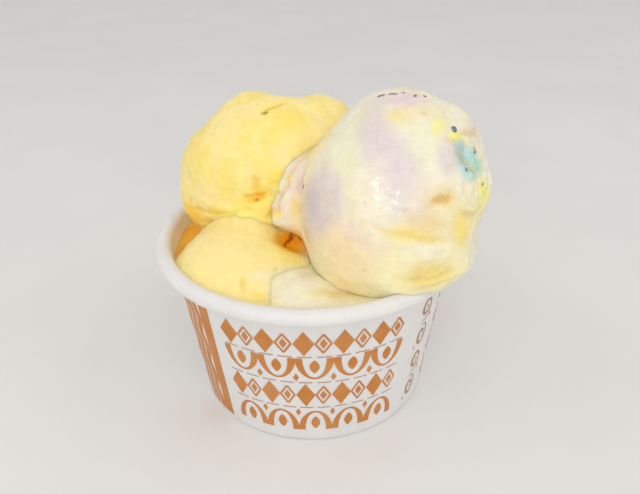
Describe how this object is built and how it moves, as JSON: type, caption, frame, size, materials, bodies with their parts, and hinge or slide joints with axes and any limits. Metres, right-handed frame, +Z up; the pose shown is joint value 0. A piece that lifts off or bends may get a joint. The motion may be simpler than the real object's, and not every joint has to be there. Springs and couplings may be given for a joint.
{
  "type": "gelato cup",
  "caption": "Small round paper dessert cup with a rolled lip, heaped with scoops of yellow gelato and pastel swirled gelato that rise well above the lip.",
  "frame": {"origin": "the middle of the bottom of the whole object's box, on the surface that the cup stands on; the cup's own axis is 1.2 mm towards -X from it, because a scoop leans over the lip on the +X side", "axes": "+Z up along the cup's axis; -Y is the front, where the pastel scoop leans over the lip towards +X"},
  "size_m": [0.0889, 0.087, 0.092],
  "materials": {
    "paper": "white coated paper, slightly satin",
    "yellow_gelato": "pale yellow gelato, moist and soft",
    "pastel_gelato": "cream gelato swirled with lilac, peach, lemon and aqua, moist and slightly glossy"
  },
  "bodies": {
    "root": {"cup_wall": "paper", "cup_base": "paper", "yellow_base": "yellow_gelato", "yellow_scoop": "yellow_gelato", "pastel_base": "pastel_gelato", "pastel_scoop": "pastel_gelato"}
  },
  "joints": []
}
